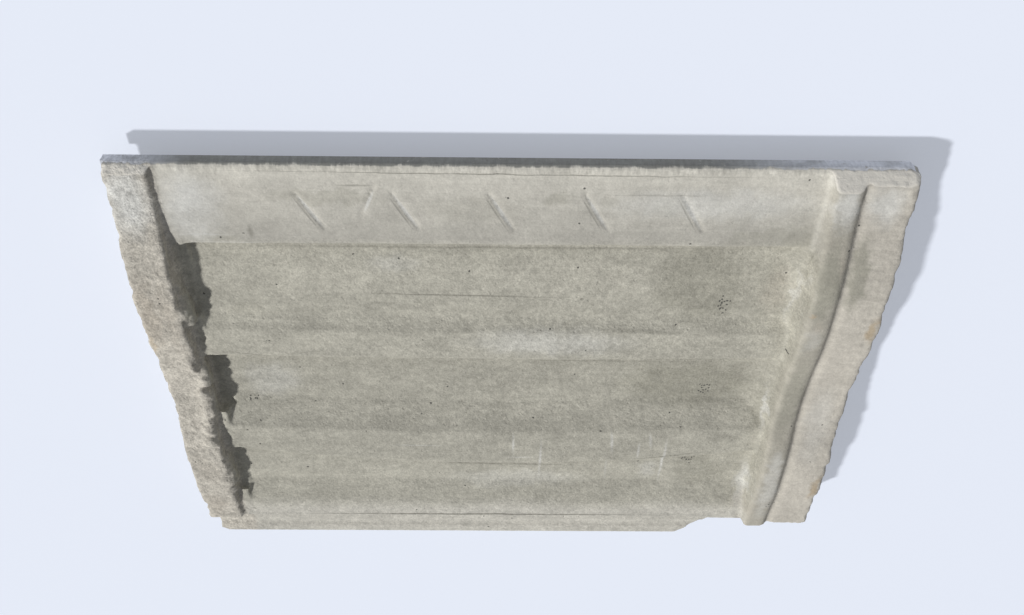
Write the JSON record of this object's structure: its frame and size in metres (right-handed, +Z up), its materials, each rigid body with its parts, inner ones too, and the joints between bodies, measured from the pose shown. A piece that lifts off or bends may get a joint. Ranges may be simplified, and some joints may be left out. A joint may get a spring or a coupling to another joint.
{
  "type": "concrete roof tile",
  "caption": "Flat-waved interlocking concrete roof tile lying on its weather face, with side tongue and lip, batten lug, nose bars and cored underside.",
  "frame": {"origin": "centre of the tile's box, on the plane that its weather crests rest on", "axes": "+X along the tile from its head (batten lug) to its nose, +Y towards the underlap tongue, +Z up out of the underside"},
  "size_m": [0.42, 0.33, 0.0372],
  "materials": {
    "concrete": "cast, sandy, weathered"
  },
  "bodies": {
    "root": {"roof_tile": "concrete"}
  },
  "joints": []
}
